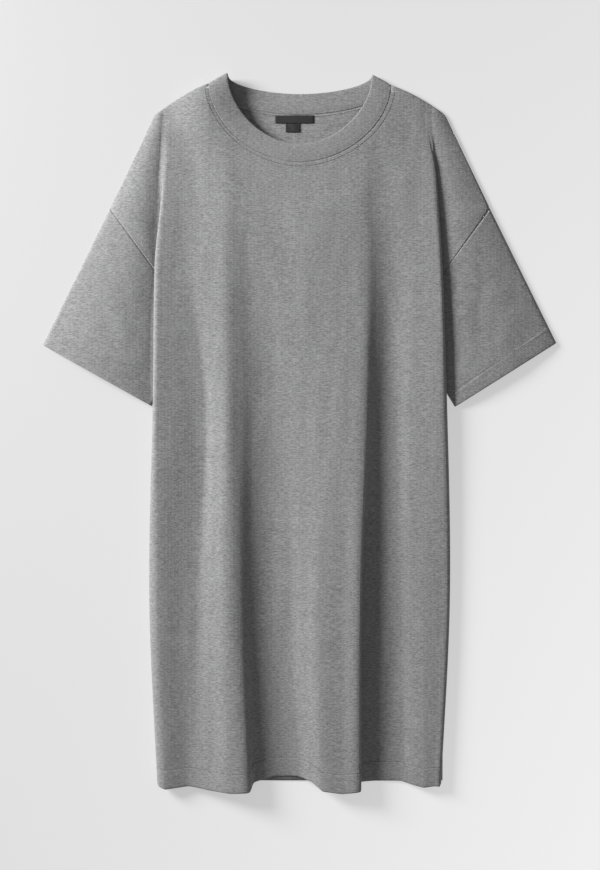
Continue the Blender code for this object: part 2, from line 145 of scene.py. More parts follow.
# Folds of the front: x at five heights, z at the same heights, and where each line ends at the hem
LEVEL_Y = (427.0, 245.0, 47.0, -217.0, -468.0)
FOLD_LINES = {
    # name:          x at each height                z at each height               hem y
    "left crest":    ((-165, -177, -186, -187, -177), (4.0, 13.0, 15.4, 13.7, 12.5), -465),
    "left trough":   ((-150, -151, -127, -137, -146), (4.6, 10.5, 7.9, 7.9, 8.5), -461),
    "left slope":    ((-128, -122, -112, -116, -118), (5.7, 12.3, 13.0, 14.4, 13.2), -466),
    "left top":      ((-104, -99, -96, -97, -91), (6.8, 14.3, 17.0, 21.0, 21.0), -469),
    "left brink":    ((-86, -82, -79, -78, -67), (7.6, 12.6, 13.8, 18.8, 21.2), -468),
    "left under":    ((-69, -66, -62, -64, -60), (8.4, 10.8, 9.0, 8.6, 9.0), -456),
    "left valley":   ((-50, -44, -40, -43, -33), (8.8, 10.4, 6.8, 3.6, 2.6), -449),
    "middle foot":   ((-26, -20, -18, -15, -2), (9.0, 11.4, 8.0, 4.2, 3.0), -449),
    "middle slope":  ((0, 6, 8, 4, 16), (9.0, 12.8, 11.4, 9.8, 9.6), -455),
    "middle top":    ((33, 35, 36, 24, 30), (9.0, 13.5, 14.2, 16.0, 15.6), -467),
    "middle brow":   ((59, 66, 62, 56, 56), (9.0, 13.5, 16.2, 18.2, 17.8), -470),
    "middle brink":  ((75, 87, 87, 80, 79), (8.7, 12.4, 16.0, 19.2, 19.4), -467),
    "middle under":  ((87, 101, 97, 79, 78), (8.5, 9.4, 8.4, 8.5, 9.0), -456),
    "right valley":  ((98, 114, 109, 98, 98), (8.0, 7.7, 3.8, 2.6, 2.6), -455),
    "right foot":    ((113, 127, 127, 132, 133), (7.3, 7.6, 3.9, 2.9, 2.8), -455),
    "right slope":   ((130, 143, 144, 148, 150), (6.4, 9.4, 7.8, 6.3, 6.8), -460),
    "right top":     ((145, 160, 164, 163, 163), (6.0, 11.2, 11.0, 8.9, 9.6), -463),
    "right crest":   ((158, 177, 186, 187, 176), (5.6, 13.2, 14.2, 10.4, 10.4), -461),
}
EDGE_X = {"left": (180, 190, 193, 198, 187), "right": (173, 186, 193, 197, 185)}
EDGE_Z = {"left": (4.0, 10.5, 11.0, 6.8, 7.0), "right": (5.2, 10.2, 9.2, 6.8, 7.0)}
EDGE_HALF = (0.0, 3.2, 3.8, 3.6, 3.6)

# Each side starts as an open valley, which closes into a pleat from this height over this run
PLEAT_FROM = {"left": 350.0, "right": 405.0}
PLEAT_RUN = {"left": 130.0, "right": 60.0}
VALLEY_OUT = 1.0
VALLEY_OUT_SHARE = 0.4
VALLEY_IN = 9.0
VALLEY_DIP = 4.5
VALLEY_RUN = 110.0
VALLEY_SHARES = (0.0, 0.2, 0.4, 0.6, 0.8, 1.0)
HAIRPIN = 1.7
EDGE_TURN = 2.0
UNDERARM_RUN = 30.0

# How the front rises from its shoulders and neck, and where its relief shows, in stations from each end
SHOULDER_BULGE = 2.6
NECK_BLEND = 70.0
SHOULDER_BLEND = 40.0
SHOULDER_RISE = 22.0
SPREAD_SHARE = 0.25
SHOWN_FROM = 5.0
SHOWN_RUN = 1.5
RELIEF_RUN = 30.0
SIDES = {"left": -1.0, "right": 1.0}
SIDE_COUNT = 6
LAST_STATION = 2 * SIDE_COUNT + len(FOLD_LINES) - 1

# Dropped shoulders, lens-shaped beside the body, and their armhole seams
LENS_ARCH = {"left": 0.105, "right": 0.06}
LENS_ARCH_FADE = 60.0
LENS_DROP_RUN = 60.0
LENS_RIPPLE_FROM = 9.0
LENS_RIPPLE_RUN = 8.0
LEAST_SHOWN = 1.0
FOLDED_ARCH_POWER = 0.8
SEWN_ARCH_POWER = 1.4
SEWN_ARCH_LOSS = 0.4
SEAM_CALM = 14.0
SEAM_DIP = 0.05
SEAM_DIP_WIDTH = 0.8
SEAM_DIP_END = 20.0

# Heights of the fold along each shoulder, as shares of the way down to the back
FOLD_SHARES = (1.0, 0.8, 0.55, 0.3, 0.12)
FOLD_BULGE = 0.5
CORNER_SLACK = 0.5

# How finely the cloth is meshed, and where the back's ripple lies
MERGE_WITHIN = 0.02
COLUMN_STEP = 2.7
LENS_COLUMNS = 24
TOP_ROWS = (0.0, 0.8, 1.7, 2.8, 4.0, 4.7, 5.3, 6.0, 7.0, 8.5, 10.5, 13.0)
HEM_ROWS = (30.0, 27.5, 26.3, 25.6, 25.0, 24.4, 23.7, 22.5, 19.0, 13.0, 7.0, 3.0, 1.0, 0.0)
MIDDLE_ROWS = 170
BACK_COLUMNS = 120
BACK_ARM_ROWS = 40
BACK_SIDE_ROWS = 120
BACK_RIPPLE_Y = 330.0
BACK_RIPPLE_X = 150.0
BACK_RIPPLE_RUN = 40.0
SECTION_POINTS = 3000
SPACING_Y = (-150.0, 150.0)
NECKLINE_POINTS = 2000
SEARCH_STEPS = 30

# Small creases that lie over the folds: start, end, half width and height (a trough is negative)
CREASES = (
    # start         end           half width  height
    ((-120, 440), (-75, 250), 16, 0.5),
    ((-150, 420), (-128, 240), 10, -0.8),
    ((118, 438), (96, 262), 13, -0.5),
    ((150, 415), (128, 250), 11, 1.0),
    ((-60, 330), (-22, 120), 20, 0.7),
    ((40, 330), (70, 90), 22, -0.8),
    ((-8, 250), (10, -60), 26, 0.6),
    ((-150, 120), (-128, -120), 14, -0.7),
    ((-140, -140), (-150, -400), 13, 0.7),
    ((-20, -90), (-36, -330), 15, 0.6),
    ((150, 40), (140, -230), 12, 0.8),
    ((120, -240), (128, -440), 11, -0.8),
    ((20, -300), (22, -455), 10, 0.7),
    ((-105, -330), (-108, -460), 12, -0.7),
)
SLEEVE_CREASES = (
    # start         end           half width  height
    ((242, 215), (234, 80), 12, -1.2),
    ((292, 170), (252, 88), 14, 0.9),
    ((-262, 225), (-243, 90), 13, -0.7),
)
CREASE_BOW = 4.0
CREASE_BOW_TURNS = 1.3
CREASE_FADE_POWER = 1.2

# Ripples of the cloth: size in x, size in y, height and seed
RIPPLES = {
    "front": (34.0, 120.0, 0.55, 2.0),
    "shoulder": (26.0, 60.0, 0.4, 5.0),
    "back": (30.0, 30.0, 0.25, 9.0),
    "sleeve": (30.0, 46.0, 0.6, 4.0),
}
# The finer ripple on each: how much finer in x and y, its share of the height, its step of the seed
FINE_RIPPLE = (2.3, 2.1, 0.5, 7)

# Stitches: length, space and thickness of the thread, and how steep the cloth under one may be
STITCH = 2.4
STITCH_SPACE = 0.7
THREAD = 0.55
STEEPEST = 2.0
THREAD_SIDES = 5
STITCH_RINGS = (
    # share of the length  fullness  lift in threads
    (0.0, 0.45, -0.15),
    (0.25, 1.0, 0.25),
    (0.75, 1.0, 0.25),
    (1.0, 0.45, -0.15),
)
TOPSTITCH_OUT = 5.0
TOPSTITCH_END = 0.07
INNER_STITCH_OUT = 2.8
INNER_STITCH_END = 0.5
CUFF_STITCH_SHARE = 1.03
CUFF_STITCH_ENDS = (0.01, 0.99)
CUFF_STITCH_POINTS = 80
HEM_STITCH_FROM = 5.2
HEM_STITCH_POINTS = 700
NECK_STITCH_POINTS = 300
RAY_HEIGHT = 200.0

# Yarns and threads: dark tone, light tone, strength of the marl and fuzz
YARNS = {
    "heather_jersey": ((0.150, 0.150, 0.153), (0.400, 0.400, 0.405), 1.0, 0.12),
    "heather_band": ((0.150, 0.150, 0.153), (0.400, 0.400, 0.405), 0.9, 0.12),
    "thread": ((0.20, 0.20, 0.203), (0.34, 0.34, 0.345), 0.6, 0.0),
    # The sunk thread's near-black tones are painted shade: they darken the neck and hem stitches to stand
    # for the shadow in their grooves.
    "groove_shade_thread": ((0.06, 0.06, 0.062), (0.12, 0.12, 0.122), 0.6, 0.0),
}
SATIN_TONES = (0.012, 0.012, 0.013), (0.032, 0.032, 0.034)
CLOTH_SURFACE = {"Roughness": 0.95, "Specular IOR Level": 0.15, "Sheen Roughness": 0.6}
SATIN_SURFACE = {"Roughness": 0.55}

# Marl of the jersey: scale in x, y and z, detail, roughness, range of the noise, share of the colour
MARL = {
    "long streaks": ((190, 860, 300), 2.0, 0.6, (0.33, 0.67), 0.6),
    "short streaks": ((420, 1500, 700), 1.0, 0.5, (0.3, 0.7), 0.32),
    "blotches": ((24, 60, 40), 2.0, 0.5, (0.3, 0.7), 0.08),
}
WALE_SCALE = (170, 60, 60)
WALE_DISTORTION = 1.2
WALE_SHARE = 0.35
FIBRES = ((900, 1500, 1200), 3.0, 0.65)
STREAK_SHARE = 0.5
KNIT_BUMP = (0.5, 0.0004)
SATIN_BUMP = (0.4, 0.0002)
RIB_SCALE = (700, 700, 700)
RIB_DISTORTION = 0.6

# Floor, camera and light, in metres and degrees
FLOOR_HALF = 6.0
FLOOR_BELOW = 0.0002
FLOOR_MATT = 0.40
FLOOR_GLOW = (0.240, 0.632)
FLOOR_GLOW_REACH = 0.6
FLOOR_SURFACE = {"Roughness": 1.0, "Specular IOR Level": 0.0}
CAMERA_HEIGHT = 2.5
CAMERA_REACH = 50.0
CAMERA_SHIFT_PIXELS = 0.5
SENSOR = 36.0
LIGHT_FROM = (-0.80, 0.42)
LIGHT_HEIGHT = 23.5
LIGHT_SOFTNESS = 22.0
LIGHT_DISTANCE = 2.6
LIGHT_POWER = 117.0
SKY = 0.20


def smooth(share):
    """0 to 1 with level ends."""
    share = np.clip(share, 0.0, 1.0)
    return share * share * (3.0 - 2.0 * share)


def through_levels(values, y):
    """A smooth curve in y through the values given at LEVEL_Y."""
    levels = np.array(LEVEL_Y[::-1])
    points = np.array(values[::-1], float)
    slopes = np.gradient(points, levels)
    y = np.clip(y, levels[0], levels[-1])
    i = np.clip(np.searchsorted(levels, y, side="right") - 1, 0, len(levels) - 2)
    width = levels[i + 1] - levels[i]
    s = (y - levels[i]) / width
    return (
        (2 * s**3 - 3 * s**2 + 1) * points[i]
        + (s**3 - 2 * s**2 + s) * width * slopes[i]
        + (3 * s**2 - 2 * s**3) * points[i + 1]
        + (s**3 - s**2) * width * slopes[i + 1]
    )


def outer_x(y):
    """Distance from the middle to the shoulder edge, or to the armhole seam below the sleeve point."""
    return np.interp(y, OUTER_Y[::-1], OUTER_X[::-1])


def tuck_x(y):
    """Distance from the middle to the inner line of the side pleat, or to the side seam."""
    return np.interp(y, TUCK_Y[::-1], TUCK_X[::-1])


def neck_curve(half_width, start_y, depth, turn):
    """A point on a neckline: turn runs from 0 at the right shoulder to pi at the left one."""
    across = np.cos(turn)
    down = np.maximum(0.0, 1.0 - np.abs(across) ** NECK_POWER) ** (1.0 / NECK_POWER)
    return half_width * across, start_y - depth * down


def band_height(turn):
    """Height of the neckband's middle: high in front, low behind, turning over at each shoulder."""
    leftness = (1.0 - np.cos(turn)) / 2
    sharpness = BAND_TURN["right"] + (BAND_TURN["left"] - BAND_TURN["right"]) * leftness
    lift = np.tanh(sharpness * (np.sin(turn) - BAND_LEFT_SHIFT * leftness**6))
    high = BAND_HIGH + BAND_CORNER_RISE * leftness**BAND_CORNER_POWER
    return (high + BAND_LOW) / 2 - lift * (high - BAND_LOW) / 2


def arm_arch(share, hidden_from, edge_z, arch, power):
    """Height of the upper layer of an arm, from its outer fold to where the body covers it and beyond."""
    inward = np.clip(share / hidden_from, 0.0, 1.0)
    return edge_z + (TUCKED_LAYER - edge_z) * inward + arch * np.sin(math.pi * inward) ** power


def seam_height(share, side):
    """Height of the armhole seam on the upper layer, from the sleeve point to the underarm."""
    share = np.clip(share, 0.0, 1.0)
    sink = (NEXT_LAYER - TUCKED_LAYER) * smooth((share - HIDDEN_FROM_SEAM) / (1 - HIDDEN_FROM_SEAM))
    return arm_arch(share, HIDDEN_FROM_SEAM, NEXT_LAYER, SLEEVE_ARCH[side], ARCH_POWER[side]) + sink


def pleat_share(side, y):
    """0 where the side has an open valley, 1 where its cloth is tucked under."""
    return smooth((PLEAT_FROM[side] - y) / PLEAT_RUN[side])


def valley_x(side, y):
    """Distance from the middle to the bottom of the side's open valley."""
    edge = through_levels(EDGE_X[side], y)
    return edge + np.clip(VALLEY_OUT_SHARE * (outer_x(y) - edge), 0.0, VALLEY_OUT)


def side_stations(side, y):
    """The valley or pleat and the rolled edge of one side, from its inner line outwards: (x, z)."""
    pleat = pleat_share(side, y)
    edge = through_levels(EDGE_X[side], y)
    edge_z = through_levels(EDGE_Z[side], y)
    half = through_levels(EDGE_HALF, y)
    tuck = tuck_x(y)
    above_underarm = smooth((y - UNDERARM[1]) / UNDERARM_RUN) * pleat
    low = NEXT_LAYER + above_underarm * (TUCKED_LAYER - NEXT_LAYER)
    closed = [
        (tuck, low),
        (tuck - HAIRPIN, low + HAIRPIN),
        (tuck, low + 2 * HAIRPIN),
        (edge - EDGE_TURN, edge_z - half),
        (edge, edge_z),
        (edge - EDGE_TURN, edge_z + half),
    ]
    high = edge_z + half
    bottom = np.maximum(high - VALLEY_DIP * smooth((ARM_TOP_Y - y) / VALLEY_RUN), NEXT_LAYER)
    outside, inside = valley_x(side, y), edge - VALLEY_IN
    opened = [
        (outside + (inside - outside) * share, bottom + (high - bottom) * smooth(share))
        for share in VALLEY_SHARES
    ]
    return [
        (open_x + (shut_x - open_x) * pleat, open_z + (shut_z - open_z) * pleat)
        for (open_x, open_z), (shut_x, shut_z) in zip(opened, closed)
    ]


def stations_at(y):
    """Sections of the front from the left pleat to the right one: (heights, stations, 2)."""
    left = [(-x, z) for x, z in side_stations("left", y)]
    middle = [(through_levels(xs, y), through_levels(zs, y)) for xs, zs, _ in FOLD_LINES.values()]
    right = side_stations("right", y)[::-1]
    return np.stack([np.stack(pair, axis=-1) for pair in left + middle + right], axis=1)


def unit(vectors):
    """The same directions, each one unit long."""
    return vectors / np.maximum(np.linalg.norm(vectors, axis=1, keepdims=True), TINY)


def on_section(y, place):
    """Points of the front, (n, 2) as x and z, at these heights and places along the section."""
    stations = stations_at(y)
    n = np.arange(len(y))
    i = np.clip(place.astype(int), 0, LAST_STATION - 1)
    s = (place - i)[:, None]
    before, start = stations[n, np.maximum(i - 1, 0)], stations[n, i]
    end, after = stations[n, i + 1], stations[n, np.minimum(i + 2, LAST_STATION)]
    reach = np.linalg.norm(end - start, axis=1, keepdims=True)
    return (
        (2 * s**3 - 3 * s**2 + 1) * start
        + (s**3 - 2 * s**2 + s) * unit(end - before) * reach
        + (3 * s**2 - 2 * s**3) * end
        + (s**3 - s**2) * unit(after - start) * reach
    )


def hem_at(place):
    """Where the columns of the front end at the hem."""
    side = [SIDE_HEM_Y] * (SIDE_COUNT - 1) + [CORNER_HEM_Y]
    ends = side + [hem for _, _, hem in FOLD_LINES.values()] + side[::-1]
    return np.interp(place, np.arange(len(ends)), ends)


def column_places():
    """Places along the section, evenly spaced over the cloth at two heights."""
    fine = np.linspace(0.0, LAST_STATION, SECTION_POINTS)
    steps = np.zeros(len(fine) - 1)
    for y in SPACING_Y:
        line = on_section(np.full(len(fine), y), fine)
        steps = np.maximum(steps, np.linalg.norm(np.diff(line, axis=0), axis=1))
    run = np.concatenate([[0.0], np.cumsum(steps)])
    count = int(run[-1] / COLUMN_STEP)
    return np.interp(np.linspace(0.0, run[-1], count), run, fine)


def shoulder_y(x):
    """Height of the shoulder line, which bulges a little."""
    along = np.clip((np.abs(x) - SHOULDER_CORNER_X) / (ARM_TOP_X - SHOULDER_CORNER_X), 0.0, 1.0)
    straight = SHOULDER_CORNER_Y - SHOULDER_SLOPE * (np.abs(x) - SHOULDER_CORNER_X)
    return straight + SHOULDER_BULGE * np.sin(math.pi * along)


def neckline_points(count):
    """Evenly spaced points along the front neckline from the left shoulder to the right: x, y."""
    turns = np.linspace(math.pi, 0.0, NECKLINE_POINTS)
    x, y = neck_curve(SHOULDER_CORNER_X, SHOULDER_CORNER_Y, NECK_FRONT_DEPTH, turns)
    run = np.concatenate([[0.0], np.cumsum(np.hypot(np.diff(x), np.diff(y)))])
    picked = np.interp(np.linspace(0.0, run[-1], count), run, turns)
    return neck_curve(SHOULDER_CORNER_X, SHOULDER_CORNER_Y, NECK_FRONT_DEPTH, picked)


def places_with_x(x, y):
    """The places on the sections at heights y whose x is given."""
    low, high = np.zeros(len(x)), np.full(len(x), float(LAST_STATION))
    for _ in range(SEARCH_STEPS):
        middle = (low + high) / 2
        left = on_section(y, middle)[:, 0] < x
        low = np.where(left, middle, low)
        high = np.where(left, high, middle)
    return (low + high) / 2


def front_tops(places):
    """The upper end of each column, on the shoulder lines and the neckline: place, x, y."""
    x = on_section(np.full(len(places), ARM_TOP_Y), places)[:, 0]
    first = int(np.argmin(np.abs(x + SHOULDER_CORNER_X)))
    last = int(np.argmin(np.abs(x - SHOULDER_CORNER_X)))
    y = shoulder_y(x)
    x[first : last + 1], y[first : last + 1] = neckline_points(last - first + 1)
    return places_with_x(x, np.minimum(y, ARM_TOP_Y)), x, y


def lifted(x, y, z):
    """Heights of the front near the neck, raised or lowered to the neckband's height at the seam."""
    turns = np.linspace(math.pi, 2 * math.pi, NECK_SAMPLES)
    neck_x, neck_y = neck_curve(SHOULDER_CORNER_X, SHOULDER_CORNER_Y, NECK_FRONT_DEPTH, turns)
    near = y > SHOULDER_CORNER_Y - NECK_FRONT_DEPTH - NECK_BLEND
    away = np.hypot(x[near][:, None] - neck_x, y[near][:, None] - neck_y)
    share = 1.0 - smooth(away.min(axis=1) / NECK_BLEND)
    seam_z = band_height(turns)[away.argmin(axis=1)]
    result = z.copy()
    result[near] = z[near] + (seam_z - z[near]) * share
    return result


def row_heights(top, hem):
    """Heights of the rows between top and hem, close together at both ends: (rows, columns)."""
    upper = [top - d for d in TOP_ROWS]
    lower = [hem + d for d in HEM_ROWS]
    shares = np.linspace(0.0, 1.0, MIDDLE_ROWS + 2)[1:-1]
    middle = [upper[-1] + (lower[0] - upper[-1]) * share for share in shares]
    return np.array(upper + middle + lower)


def lens_grid(side, y, body):
    """The dropped shoulder from its outer edge to the body's edge column: (rows, columns, 3)."""
    shares = np.arange(LENS_COLUMNS) / LENS_COLUMNS
    body_x, body_z = np.abs(body[:, :1]), body[:, 2:]
    from_top = np.clip((y[0] - y) / LENS_DROP_RUN, 0.0, 1.0)
    outer_y = y - (y[0] - ARM_TOP_Y) * (1.0 - from_top)
    out = outer_x(outer_y)[:, None]
    y_grid = outer_y[:, None] + (y - outer_y)[:, None] * shares
    edge = np.maximum(through_levels(EDGE_X[side], y)[:, None], body_x)
    below_point = SLEEVE_POINT[1] - y
    seam_share = below_point / (SLEEVE_POINT[1] - UNDERARM[1])
    seam_z = seam_height(seam_share, side)
    outer_z = np.where(seam_share > 0, seam_z, NEXT_LAYER)[:, None]
    x = out + (body_x - out) * shares
    visible = np.maximum(out - edge, 0.0)
    covered = np.where(visible > LEAST_SHOWN, (out - x) / np.maximum(visible, LEAST_SHOWN), 1.0)
    inward = np.clip(covered, 0.0, 1.0)
    below = smooth(below_point / LENS_ARCH_FADE)[:, None]
    folded_edge = np.sin(math.pi * inward) ** FOLDED_ARCH_POWER
    sewn_edge = np.sin(math.pi * inward**SEWN_ARCH_POWER)
    arch = folded_edge + (sewn_edge - folded_edge) * below
    rise = LENS_ARCH[side] * visible * (1.0 - SEWN_ARCH_LOSS * below)
    z = outer_z + (body_z - outer_z) * inward + rise * arch
    under = (y <= UNDERARM[1])[:, None]
    x = np.where(under, body_x, x)
    z = np.where(under, body_z, z)
    return np.stack([SIDES[side] * x, y_grid, z], axis=-1)


def crease_height(x, y, creases):
    """Height that the small creases add at each point."""
    total = np.zeros_like(x)
    for (x0, y0), (x1, y1), half, height in creases:
        length = math.hypot(x1 - x0, y1 - y0)
        along = ((x - x0) * (x1 - x0) + (y - y0) * (y1 - y0)) / length**2
        across = ((x - x0) * (y1 - y0) - (y - y0) * (x1 - x0)) / length
        bow = CREASE_BOW * np.sin(math.pi * along * CREASE_BOW_TURNS + half)
        fade = np.sin(math.pi * np.clip(along, 0.0, 1.0)) ** CREASE_FADE_POWER
        total += height * fade * np.exp(-(((across - bow) / half) ** 2))
    return total


def ripple(points, part, seed_step=0.0):
    """A gentle uneven lift for each point, from noise with finer noise over it."""
    size_x, size_y, height, seed = RIPPLES[part]
    fine_x, fine_y, fine_share, fine_step = FINE_RIPPLE
    seed += seed_step
    lift = []
    for x, y, _ in points.reshape(-1, 3):
        u, v = x / size_x, y / size_y
        coarse = noise.noise(Vector((u, v, seed)))
        fine = noise.noise(Vector((u * fine_x, v * fine_y, seed + fine_step)))
        lift.append(coarse + fine_share * fine)
    return height * np.array(lift).reshape(points.shape[:-1])


def turned_edge(distance, turning):
    """The relief of a turned and stitched edge, at these distances from it."""
    step = HEM_STEP * (1 - smooth((distance - turning + STEP_START) / STEP_RUN))
    groove = STITCH_GROOVE * np.exp(-(((distance - turning) / GROOVE_WIDTH) ** 2))
    drop = EDGE_DROP * np.exp(-((distance / EDGE_DROP_WIDTH) ** 2))
    return step - groove - drop


def seam_dip(distance):
    """How far the cloth sinks at this distance from the armhole seam."""
    return SEAM_DIP * np.exp(-((distance / SEAM_DIP_WIDTH) ** 2))


def from_shoulder(top_x, from_top, z):
    """Heights of the front, which rise quickly below the shoulders and slowly below the neck."""
    at_shoulder = smooth((np.abs(top_x) - SHOULDER_CORNER_X) / SHOULDER_BLEND)
    top_z = z[0] + (NEXT_LAYER - z[0]) * at_shoulder
    run = NECK_BLEND + (SHOULDER_RISE - NECK_BLEND) * at_shoulder
    share = np.clip(from_top / run, 0.0, 1.0)
    slow, quick = smooth(share), np.sqrt(share * (2.0 - share))
    return top_z + (z - top_z) * (slow + (quick - slow) * at_shoulder)


def front_relief(body, here, from_top, to_hem):
    """Creases, ripples and the turned hem, on the part of the front that shows."""
    last = LAST_STATION - SHOWN_FROM
    shown = smooth((here - SHOWN_FROM) / SHOWN_RUN) * smooth((last - here) / SHOWN_RUN)
    lift = crease_height(body[..., 0], body[..., 1], CREASES) + ripple(body, "front")
    return shown * (smooth(from_top / RELIEF_RUN) * lift + turned_edge(to_hem, HEM_TURNING))


def neck_dip(top_x, from_top):
    """How far the front sinks at its seam with the neckband."""
    at_neck = smooth((SHOULDER_CORNER_X - np.abs(top_x)) / NECK_DIP_FADE)
    return NECK_DIP * at_neck * np.exp(-((from_top / NECK_DIP_WIDTH) ** 2))


def shoulder_fold(body, top_x):
    """Rows that fold the front's shoulder edges down to the back: (rows, columns, 3)."""
    on_shoulder = np.abs(top_x) > SHOULDER_CORNER_X - CORNER_SLACK
    drop = np.where(on_shoulder, np.maximum(body[0, :, 2] - NEXT_LAYER, 0.0), 0.0)
    shares = np.array(FOLD_SHARES)[:, None]
    rows = np.repeat(body[:1], len(FOLD_SHARES), axis=0)
    rows[..., 2] -= drop * shares
    rows[..., 1] += on_shoulder * FOLD_BULGE * np.sin(math.pi * shares)
    return rows


def add_lens_relief(lens):
    """Ripples a dropped shoulder, calm at its seam, and sinks the armhole seam."""
    x, y = np.abs(lens[..., 0]), lens[..., 1]
    in_lens = smooth((x - through_levels(EDGE_X["left"], y) - LENS_RIPPLE_FROM) / LENS_RIPPLE_RUN)
    to_seam = x - outer_x(y)
    calm = np.where(y < SLEEVE_POINT[1], smooth(-to_seam / SEAM_CALM), 1.0)
    lens[..., 2] += calm * in_lens * np.abs(ripple(lens, "shoulder"))
    by_seam = (y < SLEEVE_POINT[1]) * (y > UNDERARM[1] + SEAM_DIP_END)
    lens[..., 2] -= by_seam * seam_dip(to_seam)


def front_grid():
    """Points over the whole front: (rows, columns, 3)."""
    places = column_places()
    top_place, top_x, top_y = front_tops(places)
    hem = hem_at(places)
    y = row_heights(top_y, hem)
    from_top = top_y - y
    here = top_place + (places - top_place) * smooth(from_top / (top_y - hem) / SPREAD_SHARE)
    xz = on_section(y.ravel(), here.ravel()).reshape(*y.shape, 2)
    x, z = xz[..., 0], from_shoulder(top_x, from_top, xz[..., 1])
    x[0] = top_x
    body = np.stack([x, y, lifted(x, y, z)], axis=-1)
    body[..., 2] += front_relief(body, here, from_top, y - hem)
    body[..., 2] -= neck_dip(top_x, from_top)
    body = np.concatenate([shoulder_fold(body, top_x), body], axis=0)
    y = np.concatenate([np.repeat(y[:1], len(FOLD_SHARES), axis=0), y], axis=0)
    left = lens_grid("left", y[:, 0], body[:, 0])
    right = lens_grid("right", y[:, -1], body[:, -1])[:, ::-1]
    for lens in (left, right):
        add_lens_relief(lens)
    return np.concatenate([left, body, right], axis=1)


def grid_object(name, grid, closed_across=False, closed_along=False, wall=None):
    """A mesh over rows of points in millimetres, with coincident points made one, given a wall if asked."""
    rows, columns = grid.shape[:2]
    index = np.arange(rows * columns).reshape(rows, columns)
    down = index if closed_along else index[:-1]
    below = np.roll(index, -1, axis=0) if closed_along else index[1:]
    right = np.roll(index, -1, axis=1)
    right_below = np.roll(below, -1, axis=1)
    if not closed_across:
        down, below, right_below = down[:, :-1], below[:, :-1], right_below[:, :-1]
        right = right[:, :-1]
    right = right[: len(down)]
    faces = np.stack([down, below, right_below, right], axis=-1).reshape(-1, 4)
    mesh = bpy.data.meshes.new(name)
    mesh.from_pydata((grid.reshape(-1, 3) * MM).tolist(), [], faces.tolist())
    bm = bmesh.new()
    bm.from_mesh(mesh)
    bmesh.ops.remove_doubles(bm, verts=bm.verts, dist=MERGE_WITHIN * MM)
    bmesh.ops.recalc_face_normals(bm, faces=bm.faces)
    bm.to_mesh(mesh)
    bm.free()
    mesh.shade_smooth()
    made = bpy.data.objects.new(name, mesh)
    bpy.context.scene.collection.objects.link(made)
    if wall:
        solid = made.modifiers.new("wall", "SOLIDIFY")
        solid.thickness = wall * MM
        solid.offset = 0.0
        solid.use_quality_normals = True
    return made


def back_grid():
    """Points over the back, flat on the surface: (rows, columns, 3)."""
    u = np.linspace(-1.0, 1.0, BACK_COLUMNS)
    top_x = u * ARM_TOP_X
    across = np.clip(np.abs(top_x) / SHOULDER_CORNER_X, 0.0, 1.0)
    neck_y = SHOULDER_CORNER_Y - NECK_BACK_DEPTH * (1 - across**NECK_POWER) ** (1 / NECK_POWER)
    top_y = np.where(np.abs(top_x) < SHOULDER_CORNER_X, neck_y, shoulder_y(top_x))
    side_y = np.concatenate(
        [
            np.linspace(ARM_TOP_Y, SLEEVE_POINT[1], BACK_ARM_ROWS)[:-1],
            np.linspace(SLEEVE_POINT[1], UNDERARM[1], BACK_ARM_ROWS)[:-1],
            np.linspace(UNDERARM[1], SIDE_HEM_Y, BACK_SIDE_ROWS),
        ]
    )
    v = ((ARM_TOP_Y - side_y) / (ARM_TOP_Y - SIDE_HEM_Y))[:, None]
    y = top_y + v * (SIDE_HEM_Y - top_y)
    below_arm = np.interp(side_y, TUCK_Y[::-1], BACK_SIDE_X[::-1])
    x = u * np.where(side_y > UNDERARM[1], outer_x(side_y), below_arm)[:, None]
    grid = np.stack([x, y, np.full_like(x, SHELL_LOW)], axis=-1)
    in_neck = smooth((y - BACK_RIPPLE_Y) / BACK_RIPPLE_RUN)
    in_neck = in_neck * smooth((BACK_RIPPLE_X - np.abs(x)) / BACK_RIPPLE_RUN)
    grid[..., 2] += in_neck * np.abs(ripple(grid, "back"))
    return grid


def sleeve_corners(side):
    """The corners of a sleeve as it lies: cuff tip, cuff corner, sleeve point and underarm."""
    sign = SIDES[side]
    point = np.array([sign * SLEEVE_POINT[0], SLEEVE_POINT[1]])
    underarm = np.array([sign * UNDERARM[0], UNDERARM[1]])
    return np.array(CUFF_TIP[side]), np.array(CUFF_CORNER[side]), point, underarm


def sleeve_top(side, share, width, to_cuff, to_seam, q):
    """Heights of a sleeve's upper layer at places q across it, on the ring at this share of its length."""
    hidden = HIDDEN_FROM_SEAM + (HIDDEN_FROM_CUFF - HIDDEN_FROM_SEAM) * share
    arch = SLEEVE_ARCH[side] + (CUFF_ARCH[side] - SLEEVE_ARCH[side]) * smooth(share)
    z = arm_arch(q, hidden, NEXT_LAYER, arch, ARCH_POWER[side])
    z = np.where(q > hidden / 2, np.maximum(z, TUCKED_LAYER), z)
    from_fold = np.minimum(np.minimum(q, 1 - q) * width / FOLD_RADIUS, 1.0)
    z = LOW_LAYER + (z - LOW_LAYER) * np.sqrt(1 - (1 - from_fold) ** 2)
    return z + from_fold * (turned_edge(to_cuff, CUFF_TURNING) - seam_dip(to_seam))


